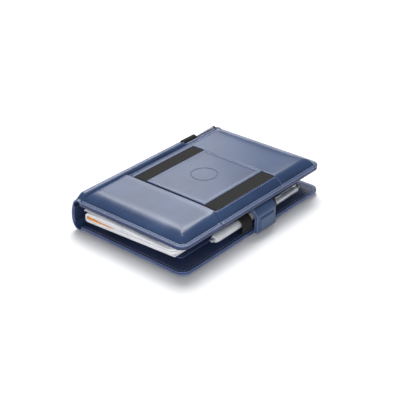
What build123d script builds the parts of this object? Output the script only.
from build123d import *
import os

os.makedirs("parts", exist_ok=True)

# A zip-free organiser: two padded covers joined by a folding spine, with a
# notebook and a pen inside and a sprung phone sleeve over a charging pad.
# +X runs from the spine to the fore-edge, +Y from the tail to the head, +Z up.

# ---- driving dimensions (mm) ----

# covers
cover_width = 136.5            # hinge groove to fore-edge
cover_length = 216.0           # tail to head
corner_radius = 10.0
stitched_border = 4.0          # flat rim outside the padding's foot
slope_width = 8.0              # padding's sloping side, in plan
spine_reach = 12.4             # how far the spine stands out from the groove
strap_reach = 6.5              # how far the closing strap stands out

# heights
back_padding_rise = 3.0        # back padding below the back rim
back_rim_thickness = 3.8
book_space = 23.4              # clear height between the two linings
front_rim_thickness = 4.8
front_padding_rise = 8.0       # front padding above the front rim

# sheet thicknesses
leather = 1.4
lining = 1.0
board = 1.4
turned_edge = 3.0              # leather turned in round each board
gap = 0.3                      # air between pieces of different bodies

# phone sleeve on the front cover
sleeve_tail = 61.5             # mouth of the sleeve, from the tail edge
sleeve_length = 90.8
panel_width = 76.0
elastic_width = 16.0
sleeve_inset = 16.0            # spine-side edge of the sleeve, from the groove
elastic_thickness = 1.0
lip_rise = 1.0                 # pocket lip above the padding's top

# charging pad under the sleeve
charger_width = 88.0
charger_wall = 1.2
charger_height = 7.0
coil_outer_radius = 22.0
coil_inner_radius = 10.5
cell_length = 46.0
cell_width = 76.0
cell_thickness = 3.8

# notebook
notebook_width = 118.5
notebook_length = 204.0
notebook_inset = 2.5           # from the groove
notebook_tail = 5.5            # from the tail edge
page_block_upper = 5.0
page_block_lower = 2.8
divider_thickness = 0.5
notebook_card = 0.6
notebook_corner = 9.0

# holder panel that keeps the notebook's rear card
holder_width = 106.0
holder_inset = 12.0
holder_tail = 17.0
holder_border = 5.0
holder_slot = 1.5
holder_leather = 1.0

# pen, its loop and its clip
pen_inset = 8.0                # pen axis, in from the fore-edge
pen_axis_height = 17.0
pen_tail = 47.0
pen_length = 138.0
pen_radius = 4.4
pen_bore = 1.6
pen_button_travel = 3.0
loop_tail = 86.5
loop_width = 15.0
loop_band = 1.1
loop_spread = 6.7              # loop's foot, out from the pen's axis

# closing strap
strap_tail = 102.5
strap_width = 30.0
strap_layer = 1.1
strap_core = 1.1
strap_bottom = 3.4
pad_margin = 3.0
pad_height = 14.0

# keeper tab in the back cover's edge, where the strap's magnet holds
keeper_depth = 8.0
keeper_overhang = 0.7
keeper_lead = 9.0              # it starts this far before the strap
keeper_plate_inset = 1.2

# stylus on the spine
stylus_tail = 155.0
stylus_length = 58.0
stylus_radius = 2.8
stylus_loop_width = 20.0
stylus_loop_band = 1.0
stylus_loop_back = 4.0         # loop's tail end, from the stylus's point
stylus_inset = 6.2             # axis, out from the groove
stylus_lift = 0.7              # axis, above the front rim
stylus_point = 9.0
stylus_end = 4.0

# folded loose sheets lying on the notebook
sheet_thickness = 1.6
sheet_lift = 5.2               # they spring up this far from the notebook
sheet_inset = 3.0
sheet_tail = 3.0

# slip pocket inside the front cover
pocket_slot = 0.6

# ---- derived places ----

# rounding, clearances and small offsets of the made shapes
holder_head_inset = 10.0
holder_corner = 4.0
keeper_corner = 1.5
keeper_air = 0.4
padding_crease_inset = 10.0
padding_inner_inset = 1.2
sleeve_mouth = 0.8
pocket_step_depth = 4.3
pocket_step_width = 7.0
pocket_step_corner = 3.0
charger_clearance = 4.0
charger_corner = 4.0
cell_clearance = 2.0
cell_rounding = 1.2
circuit_thickness = 1.6
circuit_half_width = 30.0
circuit_half_length = 26.0
ferrite_thickness = 0.8
ferrite_margin = 2.0
coil_thickness = 1.2
inner_pocket_margin = 30.0
inner_pocket_inset = 8.0
inner_pocket_back = 4.0
inner_pocket_corner = 6.0
strap_top_drop = 1.9
strap_mid_inset = 3.6
strap_root_inset = 2.9
strap_straight = 8.0
strap_stiffener_top = 9.0
magnet_top = 8.4
magnet_low = 0.6
pad_rise = 2.5
pad_chamfer = 0.8
spine_low_rise = 1.2
spine_lining_drop = 3.2
spine_board_gap = 3.0
spine_top_reach = 6.0
spine_top_rise = 1.4
spine_skin_gap = 0.1
shoulder_line = 0.9
ring_start = 93.0
tip_mouth_radius = 1.7
tip_end_radius = 2.0
nib_setback = 2.4
clip_half_width = 1.6
clip_pad_half_width = 2.6
clip_pad_length = 11.0
leaf_edge_inset = 0.2
text_edge_inset = 0.6

half_length = cover_length / 2
groove_x = -(cover_width + strap_reach - spine_reach) / 2
fore_x = groove_x + cover_width
tail_y = -half_length
head_y = half_length

back_rim_bottom = back_padding_rise
back_rim_top = back_rim_bottom + back_rim_thickness
front_rim_bottom = back_rim_top + book_space
front_rim_top = front_rim_bottom + front_rim_thickness
padding_top = front_rim_top + front_padding_rise
front_board_bottom = front_rim_bottom + lining
front_board_top = front_board_bottom + board
back_lining_bottom = back_rim_top - lining
back_board_bottom = back_lining_bottom - board

sleeve_x0 = groove_x + sleeve_inset
panel_x0 = sleeve_x0 + elastic_width
panel_x1 = panel_x0 + panel_width
sleeve_x1 = panel_x1 + elastic_width
sleeve_y0 = tail_y + sleeve_tail
sleeve_y1 = sleeve_y0 + sleeve_length

notebook_x0 = groove_x + notebook_inset
notebook_y0 = tail_y + notebook_tail
holder_x0 = groove_x + holder_inset
holder_x1 = holder_x0 + holder_width
holder_y0 = tail_y + holder_tail
pen_x = fore_x - pen_inset
pen_y0 = tail_y + pen_tail
loop_y0 = tail_y + loop_tail
strap_y0 = tail_y + strap_tail
strap_y1 = strap_y0 + strap_width
keeper_y0 = strap_y0 - keeper_lead
stylus_y0 = tail_y + stylus_tail
stylus_x = groove_x - stylus_inset
stylus_z = front_rim_top + stylus_lift


def block(x0, x1, y0, y1, z0, z1, mode=Mode.ADD):
    """A plain block between two corners, added to the part being built."""
    with Locations(((x0 + x1) / 2, (y0 + y1) / 2, (z0 + z1) / 2)):
        Box(x1 - x0, y1 - y0, z1 - z0, mode=mode)


def cover_outline(inset=0.0, spine_side=0.0):
    """Cover's plan, square at the hinge and rounded at the fore-edge."""
    x0 = groove_x + spine_side
    x1 = fore_x - inset
    length = cover_length - 2 * inset
    with BuildSketch(mode=Mode.PRIVATE) as outline:
        with Locations(((x0 + x1) / 2, 0)):
            Rectangle(x1 - x0, length)
        fillet(outline.vertices().group_by(Axis.X)[-1], max(corner_radius - inset, 2.0))
    return outline.sketch


def slab(z0, z1, inset=0.0, spine_side=0.0):
    """Flat sheet with the cover's plan."""
    plan = Plane.XY.offset(z0) * cover_outline(inset, spine_side)
    return extrude(plan, z1 - z0, mode=Mode.PRIVATE)


def padding_form(foot_z, top_z, inset=0.0):
    """Padding's outer form: a low hill with sloping sides."""
    foot = cover_outline(stitched_border + inset, spine_side=0.6 + inset)
    top = cover_outline(stitched_border + slope_width + inset, spine_side=padding_crease_inset + inset)
    levels = [Plane.XY.offset(foot_z) * foot.face(), Plane.XY.offset(top_z) * top.face()]
    return loft(levels, mode=Mode.PRIVATE)


# ---- back cover ----

back_cavity_bottom = leather
back_hill = padding_form(back_rim_bottom, 0.0)
back_hollow = padding_form(back_board_bottom, back_cavity_bottom, inset=padding_inner_inset)

with BuildPart() as back_outer_leather:
    add(slab(back_rim_bottom, back_lining_bottom))
    add(back_hill)
    add(slab(back_board_bottom, back_lining_bottom, turned_edge, turned_edge), mode=Mode.SUBTRACT)
    add(back_hollow, mode=Mode.SUBTRACT)
    # slot in the edge that takes the keeper tab
    block(
        fore_x - keeper_depth, fore_x + 1.0, keeper_y0, strap_y1,
        back_board_bottom, back_lining_bottom, Mode.SUBTRACT,
    )
back_outer_leather.part.label = "back_outer_leather"

with BuildPart() as back_padding:
    add(back_hollow)
back_padding.part.label = "back_padding"

with BuildPart() as back_board:
    add(slab(back_board_bottom, back_lining_bottom, turned_edge, turned_edge))
    block(
        fore_x - keeper_depth, fore_x + 1.0, keeper_y0, strap_y1,
        back_board_bottom, back_lining_bottom, Mode.SUBTRACT,
    )
back_board.part.label = "back_board"

with BuildPart() as back_lining:
    add(slab(back_lining_bottom, back_rim_top))
back_lining.part.label = "back_lining"

# holder panel: a plate on two stitched strips, open at the spine and the head
holder_z0 = back_rim_top
holder_plate_z = holder_z0 + holder_slot
holder_top = holder_plate_z + holder_leather
holder_y1 = head_y - holder_head_inset

with BuildPart() as holder_panel:
    block(holder_x0, holder_x1, holder_y0, holder_y1, holder_z0, holder_top)
    fillet(holder_panel.edges().filter_by(Axis.Z).group_by(Axis.Y)[0].sort_by(Axis.X)[-1], holder_corner)
    block(
        holder_x0 - 1.0, holder_x1 - holder_border, holder_y0 + holder_border, holder_y1 + 1.0,
        holder_z0, holder_plate_z, Mode.SUBTRACT,
    )
holder_panel.part.label = "holder_panel"

# keeper tab: stands out of the back cover's edge, with a steel plate inside
keeper_x0 = fore_x - keeper_depth
keeper_x1 = fore_x + keeper_overhang

with BuildPart() as keeper_tab:
    block(keeper_x0, keeper_x1, keeper_y0, strap_y1, back_board_bottom, back_lining_bottom)
    fillet(keeper_tab.edges().filter_by(Axis.Z).group_by(Axis.X)[-1], keeper_corner)
    block(
        keeper_x0 + keeper_plate_inset, keeper_x1 - keeper_plate_inset,
        strap_y0 + 2.0, strap_y1 - 2.0,
        back_board_bottom + keeper_air, back_lining_bottom - keeper_air, Mode.SUBTRACT,
    )
keeper_tab.part.label = "keeper_tab"

with BuildPart() as keeper_steel_plate:
    block(
        keeper_x0 + keeper_plate_inset, keeper_x1 - keeper_plate_inset,
        strap_y0 + 2.0, strap_y1 - 2.0,
        back_board_bottom + keeper_air, back_lining_bottom - keeper_air,
    )
keeper_steel_plate.part.label = "keeper_steel_plate"

# pen loop: an elastic band, flat on the lining and rounded over the pen
loop_floor = back_rim_top + loop_band / 2
loop_half = pen_radius + gap + loop_band / 2
loop_x0 = pen_x - loop_half
loop_x1 = pen_x + loop_spread

with BuildPart() as pen_loop:
    with BuildSketch(Plane.XZ.offset(-loop_y0)) as loop_section:
        with BuildLine():
            Line((loop_x0, loop_floor), (loop_x1, loop_floor))
            Line((loop_x0, loop_floor), (loop_x0, pen_axis_height))
            Spline(
                (loop_x0, pen_axis_height),
                (pen_x + 0.6, pen_axis_height + loop_half + 2.6),
                (loop_x1 + 1.1, pen_axis_height + 0.5),
                (loop_x1, loop_floor),
                tangents=((0, 1), (-0.75, -1)),
            )
        trace(line_width=loop_band)
    extrude(amount=-loop_width)
pen_loop.part.label = "pen_loop"

# ---- spine ----

spine_low_z = back_rim_top + spine_low_rise
spine_mid_x = groove_x - spine_reach + leather / 2 + spine_skin_gap
spine_top_x = groove_x - spine_top_reach
spine_top_z = front_rim_bottom + spine_top_rise

with BuildPart() as spine_outer_leather:
    with BuildSketch(Plane.XZ.offset(-tail_y)):
        with BuildLine():
            Spline(
                (spine_mid_x + 1.0, spine_low_z),
                (spine_mid_x, spine_low_z + 9.0),
                (spine_mid_x + 1.9, front_rim_bottom - 2.8),
                (spine_top_x, spine_top_z),
            )
        trace(line_width=leather)
    extrude(amount=-cover_length)
spine_outer_leather.part.label = "spine_outer_leather"

spine_board_x = groove_x - spine_reach + spine_board_gap
with BuildPart() as spine_board:
    block(
        spine_board_x, spine_board_x + board, tail_y + turned_edge, head_y - turned_edge,
        spine_low_z + 1.0, front_rim_bottom - 2.0,
    )
    add(spine_outer_leather.part, mode=Mode.SUBTRACT)
spine_board.part.label = "spine_board"

with BuildPart() as spine_lining:
    block(
        spine_board_x + board, spine_board_x + board + lining, tail_y, head_y,
        spine_low_z, front_rim_bottom - spine_lining_drop,
    )
spine_lining.part.label = "spine_lining"

# the two leather folds between the covers and the spine
with BuildPart() as lower_fold_leather:
    with BuildSketch(Plane.XZ.offset(-tail_y)):
        with BuildLine():
            Spline(
                (groove_x - 0.4, back_rim_bottom + leather / 2),
                (groove_x - 6.0, back_rim_bottom + leather / 2 + 0.6),
                (spine_mid_x + 1.5, spine_low_z - 0.8),
                tangents=((-1, 0), (-0.45, 1)),
            )
        trace(line_width=leather)
    extrude(amount=-cover_length)
lower_fold_leather.part.label = "lower_fold_leather"

with BuildPart() as upper_fold_leather:
    with BuildSketch(Plane.XZ.offset(-tail_y - stitched_border * 2)):
        with BuildLine():
            Spline(
                (spine_top_x + 0.4, spine_top_z + 0.4),
                (groove_x - 3.0, front_rim_top - 1.2),
                (groove_x - 2.3, front_rim_top + 1.2),
                tangents=((1, 0.8), (0.1, 1)),
            )
            shoulder = ThreePointArc(
                (groove_x - 2.3, front_rim_top + 1.2),
                (groove_x - 1.4, front_rim_top + 2.1),
                (groove_x - 0.5, front_rim_top + 1.2),
            )
            Line(shoulder @ 1, (groove_x - 0.5, front_rim_bottom + 2.0))
        trace(line_width=shoulder_line)
    extrude(amount=-(cover_length - stitched_border * 4))
upper_fold_leather.part.label = "upper_fold_leather"

# stylus loop: an elastic ring held against the spine leather
with BuildPart() as stylus_loop:
    with BuildSketch(Plane.XZ.offset(-stylus_y0 - stylus_loop_back)):
        with Locations((stylus_x, stylus_z)):
            Circle(stylus_radius + gap + stylus_loop_band)
            Circle(stylus_radius + gap, mode=Mode.SUBTRACT)
    extrude(amount=-stylus_loop_width)
    add(spine_outer_leather.part, mode=Mode.SUBTRACT)
    add(upper_fold_leather.part, mode=Mode.SUBTRACT)
stylus_loop.part = Part(stylus_loop.part.solids().sort_by(SortBy.VOLUME)[-1].wrapped)
stylus_loop.part.label = "stylus_loop"

# ---- front cover ----

hollow_top = padding_top - leather
front_hill = padding_form(front_rim_top, padding_top)
front_hollow = padding_form(front_board_top, hollow_top, inset=padding_inner_inset)

skin = slab(front_board_bottom, front_rim_top) + front_hill
skin = skin - slab(front_board_bottom, front_board_top, turned_edge, turned_edge) - front_hollow

with BuildPart() as pocket_panel:
    add(skin)
    block(
        groove_x - 1, fore_x + 1, tail_y - 1, sleeve_y0 - sleeve_mouth,
        front_board_bottom - 1, padding_top + 5, Mode.INTERSECT,
    )
pocket_panel.part.label = "pocket_panel"

with BuildPart() as pocket_lip:
    with BuildSketch(Plane.XY.offset(padding_top)):
        with Locations(((sleeve_x0 + sleeve_x1) / 2, sleeve_y0 - pocket_step_depth)):
            RectangleRounded(
                sleeve_x1 - sleeve_x0 - 2 * pocket_step_corner, pocket_step_width, pocket_step_corner,
            )
    extrude(amount=lip_rise)
pocket_lip.part.label = "pocket_lip"

with BuildPart() as fore_side_strip:
    add(skin)
    block(
        sleeve_x1, fore_x + 1, sleeve_y0 - sleeve_mouth, sleeve_y1,
        front_board_bottom - 1, padding_top + 5, Mode.INTERSECT,
    )
fore_side_strip.part.label = "fore_side_strip"

with BuildPart() as head_panel:
    add(skin)
    block(
        groove_x - 1, fore_x + 1, sleeve_y0 - sleeve_mouth, head_y + 1,
        front_board_bottom - 1, padding_top + 5, Mode.INTERSECT,
    )
    block(
        sleeve_x0, fore_x + 1, sleeve_y0 - 1, sleeve_y1,
        front_board_bottom - 1, padding_top + 5, Mode.SUBTRACT,
    )
head_panel.part.label = "head_panel"

# charging pad: a shallow tray and lid, buried in the padding
charger_x0 = (sleeve_x0 + sleeve_x1 - charger_width) / 2
charger_x1 = charger_x0 + charger_width
charger_y0 = sleeve_y0 + charger_clearance
charger_y1 = sleeve_y1 + cell_length + charger_clearance
charger_z0 = front_board_top
charger_z1 = charger_z0 + charger_height - charger_wall
cell_y0 = charger_y1 - charger_wall - cell_clearance - cell_length
coil_y = (charger_y0 + cell_y0) / 2
coil_x = (panel_x0 + panel_x1) / 2
module_floor = charger_z0 + charger_wall

with BuildPart() as charger_tray:
    block(charger_x0, charger_x1, charger_y0, charger_y1, charger_z0, charger_z1)
    fillet(charger_tray.edges().filter_by(Axis.Z), charger_corner)
    block(
        charger_x0 + charger_wall, charger_x1 - charger_wall,
        charger_y0 + charger_wall, charger_y1 - charger_wall,
        module_floor, charger_z1, Mode.SUBTRACT,
    )
charger_tray.part.label = "charger_tray"

with BuildPart() as charger_lid:
    block(charger_x0, charger_x1, charger_y0, charger_y1, charger_z1, charger_z1 + charger_wall)
    fillet(charger_lid.edges().filter_by(Axis.Z), charger_corner)
charger_lid.part.label = "charger_lid"

with BuildPart() as battery_cell:
    block(
        coil_x - cell_width / 2, coil_x + cell_width / 2, cell_y0, cell_y0 + cell_length,
        module_floor, module_floor + cell_thickness,
    )
    fillet(battery_cell.edges().filter_by(Axis.Y), cell_rounding)
battery_cell.part.label = "battery_cell"

circuit_top = module_floor + circuit_thickness
with BuildPart() as charger_circuit_board:
    block(
        coil_x - circuit_half_width, coil_x + circuit_half_width,
        coil_y - circuit_half_length, coil_y + circuit_half_length,
        module_floor, circuit_top,
    )
charger_circuit_board.part.label = "charger_circuit_board"

ferrite_top = circuit_top + ferrite_thickness
with BuildPart() as ferrite_shield:
    with BuildSketch(Plane.XY.offset(circuit_top)):
        with Locations((coil_x, coil_y)):
            Circle(coil_outer_radius + ferrite_margin)
    extrude(amount=ferrite_top - circuit_top)
ferrite_shield.part.label = "ferrite_shield"

with BuildPart() as charging_coil:
    with BuildSketch(Plane.XY.offset(ferrite_top)):
        with Locations((coil_x, coil_y)):
            Circle(coil_outer_radius)
            Circle(coil_inner_radius, mode=Mode.SUBTRACT)
    extrude(amount=coil_thickness)
charging_coil.part.label = "charging_coil"

# the sleeve's floor under the phone panel
sleeve_floor_top = padding_top - leather - gap
with BuildPart() as sleeve_floor:
    block(
        sleeve_x0, sleeve_x1, sleeve_y0 - sleeve_mouth, sleeve_y1,
        sleeve_floor_top - lining, sleeve_floor_top,
    )
sleeve_floor.part.label = "sleeve_floor"

with BuildPart() as front_padding:
    add(front_hollow)
    block(
        charger_x0, charger_x1, charger_y0, charger_y1, charger_z0,
        charger_z1 + charger_wall, Mode.SUBTRACT,
    )
    block(
        sleeve_x0, sleeve_x1, sleeve_y0 - sleeve_mouth, sleeve_y1,
        sleeve_floor_top - lining, padding_top + 1, Mode.SUBTRACT,
    )
front_padding.part.label = "front_padding"

with BuildPart() as front_board:
    add(slab(front_board_bottom, front_board_top, turned_edge, turned_edge))
front_board.part.label = "front_board"

with BuildPart() as front_lining:
    add(slab(front_rim_bottom, front_board_bottom))
front_lining.part.label = "front_lining"

# slip pocket: a leather plate stitched on three sides, open towards the spine
pocket_width = cover_width - inner_pocket_margin
pocket_border = 4.0

with BuildPart() as inner_pocket:
    block(
        groove_x + inner_pocket_back, groove_x + pocket_width,
        tail_y + inner_pocket_inset, head_y - inner_pocket_inset,
        front_rim_bottom - pocket_slot - lining, front_rim_bottom,
    )
    fillet(inner_pocket.edges().filter_by(Axis.Z).group_by(Axis.X)[-1], inner_pocket_corner)
    block(
        groove_x + 3.0, groove_x + pocket_width - pocket_border,
        tail_y + inner_pocket_inset + pocket_border, head_y - inner_pocket_inset - pocket_border,
        front_rim_bottom - pocket_slot, front_rim_bottom, Mode.SUBTRACT,
    )
inner_pocket.part.label = "inner_pocket"

with BuildPart() as strap_root:
    block(
        groove_x + pocket_width + 3.0, fore_x - strap_root_inset, strap_y0, strap_y1,
        front_rim_bottom - strap_layer, front_rim_bottom,
    )
strap_root.part.label = "strap_root"

for name, x0, x1 in (
    ("elastic_spine_side", sleeve_x0, panel_x0),
    ("elastic_fore_side", panel_x1, sleeve_x1),
):
    with BuildPart() as elastic:
        block(
            x0, x1, sleeve_y0, sleeve_y1 - 0.6,
            padding_top - elastic_thickness, padding_top,
        )
    elastic.part.label = name
    export_step(elastic.part, "parts/" + name + ".step")

# ---- phone panel, hinged at its head seam ----

with BuildPart() as phone_panel_leather:
    block(
        panel_x0, panel_x1, sleeve_y0, sleeve_y1 - gap,
        padding_top - leather + 0.5, padding_top,
    )
phone_panel_leather.part.label = "phone_panel_leather"

with BuildPart() as phone_panel_backing:
    block(
        panel_x0, panel_x1, sleeve_y0, sleeve_y1 - gap,
        padding_top - leather, padding_top - leather + 0.5,
    )
phone_panel_backing.part.label = "phone_panel_backing"

# ---- closing strap ----

strap_mid_x = fore_x + strap_reach - strap_mid_inset
strap_top_z = front_rim_bottom - strap_top_drop


def strap_sheet(offset_x, thickness, z_low, y0, y1):
    """One layer of the strap, bulging out and then hanging straight."""
    with BuildSketch(Plane.XZ.offset(-y0), mode=Mode.PRIVATE) as section:
        with BuildLine():
            bend = Spline(
                (fore_x + 0.9 + offset_x * 0.5, strap_top_z + offset_x * 0.4),
                (strap_mid_x - 0.7 + offset_x * 0.8, strap_top_z - 2.8 + offset_x * 0.6),
                (strap_mid_x + offset_x, strap_top_z - strap_straight),
                tangents=((1, -0.25), (0, -1)),
            )
            Line(bend @ 1, (strap_mid_x + offset_x, z_low))
        trace(line_width=thickness)
    return extrude(section.sketch, -(y1 - y0), mode=Mode.PRIVATE)


layer_step = (strap_layer + strap_core) / 2

with BuildPart() as strap_inner_leather:
    add(strap_sheet(-layer_step, strap_layer, strap_bottom, strap_y0, strap_y1))
strap_inner_leather.part.label = "strap_inner_leather"

with BuildPart() as strap_outer_leather:
    add(strap_sheet(layer_step, strap_layer, strap_bottom, strap_y0, strap_y1))
strap_outer_leather.part.label = "strap_outer_leather"

core_x0 = strap_mid_x - strap_core / 2
core_x1 = strap_mid_x + strap_core / 2
with BuildPart() as strap_stiffener:
    block(
        core_x0, core_x1, strap_y0 + 1, strap_y1 - 1,
        strap_bottom + strap_stiffener_top, strap_top_z - strap_stiffener_top,
    )
strap_stiffener.part.label = "strap_stiffener"

with BuildPart() as strap_magnet:
    block(core_x0, core_x1, strap_y0 + 5, strap_y1 - 5, strap_bottom + magnet_low, strap_bottom + magnet_top)
strap_magnet.part.label = "strap_magnet"

pad_x0 = strap_mid_x + strap_core / 2 + strap_layer
with BuildPart() as strap_pull_pad:
    block(
        pad_x0, fore_x + strap_reach, strap_y0 + pad_margin, strap_y1 - pad_margin,
        strap_bottom + pad_rise, strap_bottom + pad_rise + pad_height,
    )
    chamfer(strap_pull_pad.faces().sort_by(Axis.X)[-1].edges(), pad_chamfer)
strap_pull_pad.part.label = "strap_pull_pad"

# ---- notebook ----

card_z0 = holder_top + gap
pages_z0 = card_z0 + notebook_card
divider_z0 = pages_z0 + page_block_lower
upper_z0 = divider_z0 + divider_thickness
upper_z1 = upper_z0 + page_block_upper
notebook_x1 = notebook_x0 + notebook_width
notebook_y1 = notebook_y0 + notebook_length


def leaf_block(x0, x1, y0, y1, z0, z1):
    """A stack of leaves with rounded outer corners."""
    with BuildSketch(Plane.XY.offset(z0), mode=Mode.PRIVATE) as plan:
        with Locations(((x0 + x1) / 2, (y0 + y1) / 2)):
            Rectangle(x1 - x0, y1 - y0)
        fillet(plan.vertices().group_by(Axis.X)[-1], notebook_corner)
    return extrude(plan.sketch, z1 - z0, mode=Mode.PRIVATE)


with BuildPart() as notebook_cover:
    # rear card, the wrap round the spine, the front card
    add(leaf_block(notebook_x0, notebook_x1, notebook_y0, notebook_y1, card_z0, pages_z0))
    add(leaf_block(notebook_x0, notebook_x1, notebook_y0, notebook_y1, upper_z1,
                   upper_z1 + notebook_card))
    block(
        notebook_x0 - notebook_card, notebook_x0 + 0.2, notebook_y0, notebook_y1,
        card_z0, upper_z1 + notebook_card,
    )
    # rear flap, folded under to lie in the holder panel's slot
    block(
        notebook_x0 - notebook_card, notebook_x0, holder_y0 + holder_border + 1.0, notebook_y1,
        holder_z0 + gap, card_z0,
    )
    block(
        notebook_x0 - notebook_card, holder_x1 - holder_border - 2.0,
        holder_y0 + holder_border + 1.0, notebook_y1 - 4.0,
        holder_z0 + gap, holder_z0 + gap + notebook_card,
    )
notebook_cover.part.label = "notebook_cover"

with BuildPart() as notebook_pages_lower:
    add(leaf_block(notebook_x0 + leaf_edge_inset, notebook_x1 - text_edge_inset,
                   notebook_y0 + 0.4, notebook_y1 - 0.4,
                   pages_z0, divider_z0))
notebook_pages_lower.part.label = "notebook_pages_lower"

with BuildPart() as divider_sheet:
    add(leaf_block(notebook_x0 + leaf_edge_inset, notebook_x1 - leaf_edge_inset,
                   notebook_y0 + leaf_edge_inset, notebook_y1 - leaf_edge_inset,
                   divider_z0, upper_z0))
divider_sheet.part.label = "divider_sheet"

with BuildPart() as notebook_pages_upper:
    add(leaf_block(notebook_x0 + leaf_edge_inset, notebook_x1 - text_edge_inset,
                   notebook_y0 + 0.4, notebook_y1 - 0.4,
                   upper_z0, upper_z1))
notebook_pages_upper.part.label = "notebook_pages_upper"

sheet_z0 = upper_z1 + notebook_card + sheet_lift
with BuildPart() as loose_sheets:
    add(leaf_block(groove_x + sheet_inset, notebook_x1 - 1.0, tail_y + sheet_tail,
                   notebook_y1 - 2.0, sheet_z0, sheet_z0 + sheet_thickness))
loose_sheets.part.label = "loose_sheets"

# ---- pen ----

pen_y1 = pen_y0 + pen_length
tip_length = 5.0
ring_y0 = pen_y0 + ring_start
ring_length = 5.0
cap_length = 3.0
refill_radius = 1.1
barrel_y0 = pen_y0 + tip_length
cap_y0 = pen_y1 - cap_length


def turned(points, x, z):
    """A body of revolution about the line along Y at (x, z), from (radius, y) points."""
    with BuildSketch(Plane(origin=(x, 0, z)), mode=Mode.PRIVATE) as profile:
        with BuildLine():
            Polyline(*points, close=True)
        make_face()
    return revolve(profile.sketch, Axis((x, 0, z), (0, 1, 0)), mode=Mode.PRIVATE)


nib_radius = 0.62
nib_bore = 0.70
nib_y0 = pen_y0 + nib_setback          # nib's point, drawn back inside the tip
tip_back = barrel_y0 + 4.0
spring_length = 7.0
refill_y0 = tip_back + spring_length
refill_y1 = cap_y0 - 12.0

with BuildPart() as pen_tip:
    add(turned([
        (nib_bore, pen_y0), (tip_end_radius, pen_y0),
        (tip_end_radius, pen_y0 + 3.4), (tip_mouth_radius, pen_y0 + 3.6),
        (tip_mouth_radius, barrel_y0), (pen_bore, tip_back), (nib_bore, tip_back),
    ], pen_x, pen_axis_height))
pen_tip.part.label = "pen_tip"

with BuildPart() as pen_lower_barrel:
    add(turned([
        (tip_mouth_radius, barrel_y0), (3.4, barrel_y0),
        (4.1, barrel_y0 + 1.6), (pen_radius, barrel_y0 + 5.0),
        (pen_radius, ring_y0), (pen_bore, ring_y0), (pen_bore, tip_back),
    ], pen_x, pen_axis_height))
pen_lower_barrel.part.label = "pen_lower_barrel"

with BuildPart() as pen_collar:
    add(turned([
        (pen_bore, ring_y0), (pen_radius - 0.2, ring_y0), (pen_radius - 0.2, ring_y0 + ring_length),
        (pen_bore, ring_y0 + ring_length),
    ], pen_x, pen_axis_height))
pen_collar.part.label = "pen_collar"

with BuildPart() as pen_upper_barrel:
    add(turned([
        (pen_bore, ring_y0 + ring_length), (pen_radius, ring_y0 + ring_length),
        (pen_radius - 0.3, cap_y0), (pen_bore, cap_y0),
    ], pen_x, pen_axis_height))
pen_upper_barrel.part.label = "pen_upper_barrel"

with BuildPart() as pen_end_cap:
    add(turned([
        (pen_bore, cap_y0), (pen_radius - 0.3, cap_y0), (pen_radius - 0.9, pen_y1),
        (pen_bore, pen_y1),
    ], pen_x, pen_axis_height))
pen_end_cap.part.label = "pen_end_cap"

clip_z0 = pen_axis_height + pen_radius
clip_y0 = ring_y0 + ring_length + 0.4
with BuildPart() as pen_clip:
    block(pen_x - clip_half_width, pen_x + clip_half_width, clip_y0, cap_y0 - 1.0, clip_z0 + 0.6, clip_z0 + 1.5)
    block(pen_x - clip_pad_half_width, pen_x + clip_pad_half_width,
          clip_y0, clip_y0 + clip_pad_length, clip_z0 + 0.1, clip_z0 + 1.5)
    block(pen_x - clip_half_width, pen_x + clip_half_width, cap_y0 - 5.0, cap_y0 - 1.0, clip_z0 - 0.9, clip_z0 + 0.8)
    add(pen_upper_barrel.part, mode=Mode.SUBTRACT)
pen_clip.part.label = "pen_clip"

# the button pushes the refill against a spring behind the tip
with BuildPart() as pen_refill:
    add(turned([
        (0.0, nib_y0), (0.35, nib_y0), (nib_radius, nib_y0 + 1.0), (nib_radius, refill_y0),
        (refill_radius, refill_y0), (refill_radius, refill_y1), (0.0, refill_y1),
    ], pen_x, pen_axis_height))
pen_refill.part.label = "pen_refill"

with BuildPart() as pen_spring:
    add(turned([
        (nib_bore, tip_back), (refill_radius, tip_back), (refill_radius, refill_y0),
        (nib_bore, refill_y0),
    ], pen_x, pen_axis_height))
pen_spring.part.label = "pen_spring"

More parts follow.
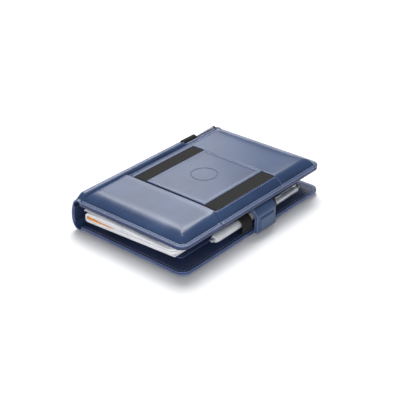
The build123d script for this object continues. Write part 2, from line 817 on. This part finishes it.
button_radius = pen_bore - 0.06
button_y1 = pen_y1 + pen_button_travel + 0.2
with BuildPart() as pen_button:
    add(turned([
        (0.0, refill_y1), (button_radius, refill_y1), (button_radius, button_y1 - 0.6),
        (button_radius - 0.4, button_y1), (0.0, button_y1),
    ], pen_x, pen_axis_height))
pen_button.part.label = "pen_button"

# ---- stylus ----

stylus_y1 = stylus_y0 + stylus_length
with BuildPart() as stylus_barrel:
    add(turned([
        (0.0, stylus_y0 + stylus_point), (stylus_radius, stylus_y0 + stylus_point),
        (stylus_radius, stylus_y1 - stylus_end), (0.0, stylus_y1 - stylus_end),
    ], stylus_x, stylus_z))
stylus_barrel.part.label = "stylus_barrel"

with BuildPart() as stylus_tip:
    add(turned([
        (0.0, stylus_y0), (1.0, stylus_y0), (stylus_radius, stylus_y0 + stylus_point),
        (0.0, stylus_y0 + stylus_point),
    ], stylus_x, stylus_z))
stylus_tip.part.label = "stylus_tip"

with BuildPart() as stylus_cap:
    add(turned([
        (0.0, stylus_y1 - stylus_end), (stylus_radius, stylus_y1 - stylus_end),
        (stylus_radius - 0.6, stylus_y1),
        (0.0, stylus_y1),
    ], stylus_x, stylus_z))
stylus_cap.part.label = "stylus_cap"

pieces = (
    back_outer_leather, back_padding, back_board, back_lining, holder_panel, keeper_tab,
    keeper_steel_plate, pen_loop, spine_outer_leather, spine_board, spine_lining,
    lower_fold_leather, upper_fold_leather, stylus_loop, pocket_panel, pocket_lip,
    fore_side_strip, head_panel, charger_tray, charger_lid, battery_cell,
    charger_circuit_board, ferrite_shield, charging_coil, sleeve_floor, front_padding,
    front_board, front_lining, loose_sheets, inner_pocket, strap_root, phone_panel_leather,
    phone_panel_backing, strap_inner_leather, strap_outer_leather, strap_stiffener,
    strap_magnet, strap_pull_pad, notebook_cover, notebook_pages_lower, divider_sheet,
    notebook_pages_upper, pen_tip, pen_lower_barrel, pen_collar, pen_upper_barrel,
    pen_end_cap, pen_clip, pen_refill, pen_spring, pen_button, stylus_barrel, stylus_tip,
    stylus_cap,
)
for piece in pieces:
    export_step(piece.part, "parts/" + piece.part.label + ".step")
